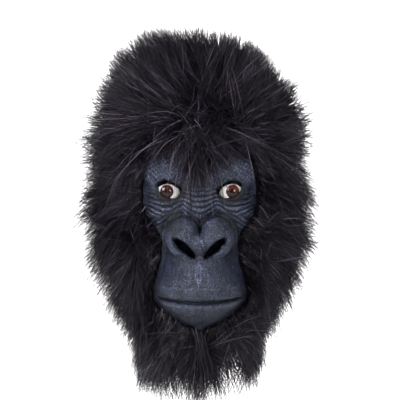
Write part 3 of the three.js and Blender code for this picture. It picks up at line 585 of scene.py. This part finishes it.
# Fur pile. Long black synthetic hairs as tapering blades, gathered twice: hairs into tufts, tufts into locks.
# It stands up over the crown, falls out and down at the sides, and hangs under the chin.
LOCKS, TUFTS, HAIRS = 1700, 13600, 6  # of hairs, to each tuft
STEPS = 6  # points along a hair
HAIR_SPREAD, ROOT_LIFT, BLADE_TAPER, TIP_HALF_WIDTH = 2.3, 2.4, 0.31, 0.03
WISP, WISP_SHARE = 2, 0.085  # the wisps' row in KINDS, and the share of tufts that are all wisps
KINDS = np.array([  # underfur, guard hair and stray wisp: share of hairs, length, frizz in mm, width
    (0.54, 0.62, 2.5, 1.15), (0.41, 0.9, 4.5, 0.85), (0.05, 1.5, 8.0, 0.8)])
rng = np.random.default_rng(11)
PILE = np.array([  # height as a share of the hem's drop, rise, way out, lift off the skin, length in mm
    (0.8, 0.9, 0.5, 3.6, 100), (0.65, 1.2, 0.7, 1.9, 96), (0.45, 0.5, 0.9, 1.2, 92),
    (0.25, -0.1, 0.95, 1.15, 94), (0, -0.5, 0.95, 1.2, 98), (-0.35, -0.75, 0.85, 1.1, 98),
    (-0.6, -1, 0.6, 0.85, 92), (-0.8, -1, 0.05, 0.4, 82), (-1, -1, -0.2, 0.15, 78)])


def unit(v):
    """The same directions, 1 long."""
    return v / np.maximum(np.linalg.norm(v, axis=-1, keepdims=True), 1e-9)


def beyond_face(p):
    """How far in mm a point of the skin lies outside the bare face, seen from the front."""
    x, y, z = np.abs(p[..., 0]), p[..., 1], p[..., 2]
    level = np.interp(-z, -FACE_EDGE[:, 0], FACE_EDGE[:, 1])
    out = np.maximum(np.maximum(x - level, z - (25 + 19 * smooth(3, 20, x))), FACE_EDGE[-1, 0] - z)
    return np.where(y > -20, np.maximum(out, 40), out)


covered = beyond_face(skin).reshape(-1) > 1.0
fur_cells = quads[covered[quads].all(1)]


def roots_on_skin(count):
    """Evenly random points of the skin outside the bare face, with their normals."""
    p = skin.reshape(-1, 3)[fur_cells]
    area = np.linalg.norm(np.cross(p[:, 2] - p[:, 0], p[:, 3] - p[:, 1]), axis=1)
    middle = p.mean(1)
    beard = smooth(-104, -124, middle[:, 2]) * smooth(20, -20, middle[:, 1])
    crowd = area * (1 + 0.9 * smooth(30, 5, beyond_face(middle)) + 1.6 * beard)
    picked = rng.choice(len(fur_cells), count, p=crowd / crowd.sum())
    s, t = rng.random((2, count, 1))
    weights = np.stack([(1 - s) * (1 - t), s * (1 - t), s * t, (1 - s) * t], 1)
    spots = (p[picked] * weights).sum(1)
    ways = unit((normals.reshape(-1, 3)[fur_cells[picked]] * weights).sum(1))
    return spots, ways


def pile_paths(roots, ways, unrest):
    """The run of hair from each root: which way it leans, how it droops and curls."""
    level = roots[:, 2] / HEM_DROP
    rise, out, lift = (read_sections(PILE, level, k)[:, None] for k in (1, 2, 3))
    away = unit(roots * (1, 1, 0) * np.where(roots[:, 1:2] < 0, (1, 0.4, 1), (1, 1, 1)))
    flow = away * out + rise * (0, 0, 1)
    fallen = np.full(roots.shape, (0.0, -0.3, -1.0))
    fallen[:, 0] = 0.6 * np.clip(roots[:, 0] / 30, -1, 1)
    forehead = smooth(46, 74, -roots[:, 1]) * smooth(84, 62, roots[:, 2]) * (roots[:, 2] > 0)
    forehead = forehead * (0.25 + 0.75 * smooth(24, 8, np.abs(roots[:, 0])))
    flow = flow * (1 - forehead[:, None]) + fallen * forehead[:, None]
    swirl = np.stack([grain(roots, 27, k) for k in (1.3, 5.7, 9.1)], 1)
    flow = flow + swirl * 1.5 + rng.normal(0, unrest, roots.shape)
    flow[:, 0] -= 0.1 + 0.35 * smooth(70, 105, roots[:, 2])
    flow = unit(flow - ways * (flow * ways).sum(1, keepdims=True))
    lift = lift * rng.uniform(0.5, 1.35, lift.shape) * (1 - 0.5 * forehead[:, None])
    heading = unit(flow + ways * lift)
    fringe = smooth(-124, -135, roots[:, 2]) * smooth(48, 14, np.abs(roots[:, 0])) * (roots[:, 1] < 0)
    edge = beyond_face(roots) + 40 * fringe
    length = read_sections(PILE, level, 4) * rng.uniform(0.7, 1.12, len(roots))
    length = length * (0.22 + 0.78 * smooth(0, 26, edge)) * (1 + 0.22 * fringe)
    bend = unit(np.cross(heading, rng.normal(0, 1, roots.shape)))
    curl = rng.uniform(0, 1, (len(roots), 1)) ** 2 * 0.9
    droop = np.c_[np.zeros((len(roots), 2)), -0.17 + 0.14 * smooth(40, 95, roots[:, 2])]
    path = [np.zeros_like(roots)]
    for k in range(1, STEPS):
        t = k / (STEPS - 1)
        heading = unit(heading + droop * t + bend * curl * math.sin(3.2 * t) * 0.5)
        path.append(path[-1] + heading * (length / (STEPS - 1))[:, None])
    return np.stack(path, 1)


t = np.linspace(0, 1, STEPS)
lock_roots, lock_ways = roots_on_skin(LOCKS)
lock_paths = pile_paths(lock_roots, lock_ways, 0.25)
tuft_roots, tuft_ways = roots_on_skin(TUFTS)
nearest = np.array([np.argmin(((lock_roots - r) ** 2).sum(1)) for r in tuft_roots])
share = rng.uniform(0.2, 0.75, (TUFTS, 1, 1))
own_paths = pile_paths(tuft_roots, tuft_ways, 0.6)
gather = (-0.5 * share * t[None, :, None] ** 1.4)
tufts = lock_paths[nearest] * share + own_paths * (1 - share)
tufts = tufts + (tuft_roots - lock_roots[nearest])[:, None] * gather
tuft_of = np.repeat(np.arange(TUFTS), HAIRS)
count = len(tuft_of)
side = unit(np.cross(tuft_ways, rng.normal(0, 1, tuft_ways.shape)))
other = np.cross(tuft_ways, side)
spread = rng.normal(0, HAIR_SPREAD, (count, 2))
offset = side[tuft_of] * spread[:, :1] + other[tuft_of] * spread[:, 1:]
kind = rng.choice(len(KINDS), (count, 1, 1), p=KINDS[:, 0])
wispy = rng.random(TUFTS) < WISP_SHARE
kind[wispy[tuft_of]] = WISP
hair_length = KINDS[:, 1][kind] * rng.uniform(0.75, 1.15, (count, 1, 1))
frizz = rng.normal(0, 1, (count, 1, 3)) * (t**1.5)[None, :, None] * KINDS[:, 2][kind]
turn = rng.uniform(0, 6.3, (count, 1, 1))
ripple = unit(rng.normal(0, 1, (count, 3)))[:, None]
ripple = ripple * (np.sin(t[None, :, None] * 5.5 + turn) - np.sin(turn)) * t[None, :, None]
hairs = (tuft_roots + tuft_ways * ROOT_LIFT)[tuft_of][:, None] + tufts[tuft_of] * hair_length
hairs = hairs + offset[:, None] * (1 - 0.6 * t)[None, :, None] + frizz + ripple * 1.5

# The pile is brushed and cut to a rounded outline, which single long hairs pass.
TRIM = np.array([  # height, half width of the trimmed pile
    (172, 6), (166, 43), (155, 62), (140, 75), (114, 95), (88, 110), (60, 117), (20, 115), (-20, 118),
    (-50, 116), (-75, 110), (-100, 104), (-125, 90), (-150, 68), (-180, 60), (-203, 48), (-214, 6)])
TRIM_DEPTH, TRIM_MIDDLE = 1.26, 12.0  # depth as a share of width, and how far back the outline's middle lies
LONGEST_REACH = np.array(((-149, -148, -219), (149, 166, 177.0)))  # corners of the box that no hair passes


def beyond_trim(p, slack):
    """How far out a point is, as a share of the trimmed pile's half width there and of its slack."""
    z = p[..., 2] / np.minimum(slack, 1.05)
    half = np.interp(-z, -TRIM[:, 0], TRIM[:, 1]) * slack
    lean = -3 - 12 * smooth(80, 165, z)
    over = np.maximum(np.maximum(z - TRIM[0, 0], TRIM[-1, 0] - z), 0)
    deep = TRIM_DEPTH * np.maximum(half, 94 * slack * smooth(-90, -120, z))
    return np.hypot((p[..., 0] - lean) / half, (p[..., 1] - TRIM_MIDDLE) / deep) + over


start = hairs[:, 0]
wisp_slack = rng.uniform(1.08, 1.42, TUFTS)[tuft_of]
even_slack = rng.uniform(0.94, 1.14, TUFTS)[tuft_of]
slack = np.where(kind[:, 0, 0] == WISP, wisp_slack, even_slack)
trimmed = np.full(count, 0.3)
for share_kept in np.linspace(0.34, 1, 23):
    reached = start + (hairs[:, -1] - start) * share_kept
    trimmed = np.where(beyond_trim(reached, slack) <= 1, share_kept, trimmed)
hairs = start[:, None] + (hairs - start[:, None]) * trimmed[:, None, None]
room = np.where(hairs > start[:, None], LONGEST_REACH[1] - start[:, None], start[:, None] - LONGEST_REACH[0])
excess = (np.abs(hairs - start[:, None]) / np.maximum(room, 1)).max((1, 2), keepdims=True)
hairs = start[:, None] + (hairs - start[:, None]) / np.maximum(excess, 1)
along = unit(np.gradient(hairs, axis=1))
across = unit(np.cross(along, unit(tuft_ways[tuft_of] + rng.normal(0, 0.7, (count, 3)))[:, None]))
taper = (BLADE_TAPER * (1 - t**2) + TIP_HALF_WIDTH)[None, :, None]
half_width = taper * KINDS[:, 3][kind] * rng.uniform(0.7, 1.2, (count, 1, 1))
one_side, other_side = hairs - across * half_width, hairs + across * half_width
hair_tone = np.clip(rng.normal(0.46, 0.28, count), 0, 1)

# Modacrylic pile, black with a plum cast. Single hairs catch the light along their length.
fur = bpy.data.materials.new("synthetic_fur_black")
fur.use_nodes = True
surface = fur.node_tree.nodes["Principled BSDF"]
each = add_node(fur, "ShaderNodeAttribute", attribute_name="hair_tone")
dyed = add_node(fur, "ShaderNodeValToRGB", {"Fac": each.outputs["Fac"]})
for element, (position, shade) in zip(dyed.color_ramp.elements, [(0.1, "#0f0b14"), (1.0, "#6e6474")]):
    element.position, element.color = position, linear(shade)
for position, shade in [(0.5, "#161119"), (0.85, "#322c39")]:
    dyed.color_ramp.elements.new(position).color = linear(shade)
fur.node_tree.links.new(dyed.outputs["Color"], surface.inputs["Base Color"])
surface.inputs["Roughness"].default_value = 0.48
surface.inputs["Specular IOR Level"].default_value = 0.3

root_angle = np.degrees(np.arctan2(np.abs(tuft_roots[:, 0]), -tuft_roots[:, 1]))[tuft_of]
root_x, root_z = tuft_roots[tuft_of, 0], tuft_roots[tuft_of, 2]
crown, nape, beard = root_z > 62, root_angle > 108, (root_z < -96) & (root_angle <= 108)
parts = {
    "fur_crown_left": crown & (root_x < 0),
    "fur_crown_right": crown & (root_x >= 0),
    "fur_nape_left": ~crown & nape & (root_x < 0),
    "fur_nape_right": ~crown & nape & (root_x >= 0),
    "fur_cheek_left": ~crown & ~nape & ~beard & (root_x < 0),
    "fur_cheek_right": ~crown & ~nape & ~beard & (root_x >= 0),
    "fur_beard": ~crown & ~nape & beard,
}
block = 2 * (STEPS - 1) + 1  # points of a blade: both edges, then its tip
strip = np.array([(k, k + STEPS - 1, k + STEPS, k + 1) for k in range(STEPS - 2)])
for name, chosen in parts.items():
    edges_and_tip = [one_side[chosen][:, :-1], other_side[chosen][:, :-1], hairs[chosen][:, -1:]]
    points = np.concatenate(edges_and_tip, 1).reshape(-1, 3)
    base = np.arange(chosen.sum())[:, None] * block
    four = (base[:, :, None] + strip[None]).reshape(-1, 4)
    three = base + np.array((STEPS - 2, block - 2, block - 1))[None]
    piece = mesh_piece(name, points, four.tolist() + three.tolist(), fur)
    set_value(piece, "hair_tone", np.repeat(hair_tone[chosen], block))
    piece.data.shade_smooth()
    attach(piece, "root")
    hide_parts("fur_bib" if name == "fur_beard" else "fur_hood")


# Floor: a pale seamless sweep, well below and behind the mask, which hangs at the camera's height.
bpy.ops.object.select_all(action="DESELECT")
bpy.ops.mesh.primitive_plane_add(size=1, location=(0, -0.7, -0.46))
floor = bpy.context.object
floor.name = "floor"
floor.scale = (8, 4.6, 1)
bpy.ops.object.transform_apply(location=True, rotation=True, scale=True)
bpy.ops.object.mode_set(mode="EDIT")
bpy.ops.mesh.select_all(action="DESELECT")
bpy.ops.object.mode_set(mode="OBJECT")
for edge in floor.data.edges:
    edge.select = all(floor.data.vertices[k].co.y > 1 for k in edge.vertices)
bpy.ops.object.mode_set(mode="EDIT")
for move in [(0, 0.3, 0.1), (0, 0.25, 0.25), (0, 0.1, 0.45), (0, 0, 3.5)]:
    bpy.ops.mesh.extrude_edges_move(TRANSFORM_OT_translate={"value": move})
bpy.ops.mesh.select_all(action="SELECT")
bpy.ops.mesh.normals_make_consistent(inside=False)
bpy.ops.object.mode_set(mode="OBJECT")
bpy.ops.object.shade_smooth()
pale = bpy.data.materials.new("floor_pale")
pale.use_nodes = True
pale.node_tree.nodes["Principled BSDF"].inputs["Base Color"].default_value = linear("#f4f4f4")
pale.node_tree.nodes["Principled BSDF"].inputs["Roughness"].default_value = 0.9
floor.data.materials.append(pale)


# Soft studio light: a softbox before the mask on the left, a weaker one on the right, one above, and two on
# the sweep, which stays white.
target = Vector((0, -0.08, -0.13))
LAMPS = [  # name, degrees round and up, distance and size in metres, watts
    ("key", -35, 16, 1.7, 0.5, 21.0), ("fill", 20, 4, 1.7, 0.35, 7.5), ("top", 0, 78, 1.4, 1.0, 9.0)]
for name, azimuth, elevation, distance, size, power in LAMPS:
    turned, raised_by = math.radians(azimuth), math.radians(elevation)
    level = math.cos(raised_by)
    way = Vector((math.sin(turned) * level, -math.cos(turned) * level, math.sin(raised_by)))
    lamp = bpy.data.objects.new(name, bpy.data.lights.new(name, "AREA"))
    lamp.data.size = size
    lamp.data.energy = power
    lamp.location = target + way * distance
    lamp.rotation_euler = (-way).to_track_quat("-Z", "Y").to_euler()
    bpy.context.scene.collection.objects.link(lamp)
for name, at in (("sweep_left", (-0.95, 1.1, 0.6)), ("sweep_right", (0.95, 1.1, 0.6))):
    lamp = bpy.data.objects.new(name, bpy.data.lights.new(name, "AREA"))
    lamp.data.size = 0.8
    lamp.data.energy = 60.0
    lamp.location = at
    lamp.rotation_euler = (Vector((at[0] * 0.7, 2.3, 0.1)) - Vector(at)).to_track_quat("-Z", "Y").to_euler()
    bpy.context.scene.collection.objects.link(lamp)
world = bpy.data.worlds.new("studio")
bpy.context.scene.world = world
world.use_nodes = True
world.node_tree.nodes["Background"].inputs["Color"].default_value = linear("#ffffff")
world.node_tree.nodes["Background"].inputs["Strength"].default_value = 0.4


# Camera: straight on and level with the mask's middle, as in the photograph.
lens = bpy.data.cameras.new("camera")
lens.lens = 139
lens.sensor_width = 36
lens.dof.use_dof = False
camera = bpy.data.objects.new("camera", lens)
camera.location = (0.0002, -1.6, -0.1307)
camera.rotation_euler = (math.radians(90), 0, 0)
bpy.context.scene.collection.objects.link(camera)
bpy.context.scene.camera = camera
bpy.context.scene.view_settings.view_transform = "Standard"
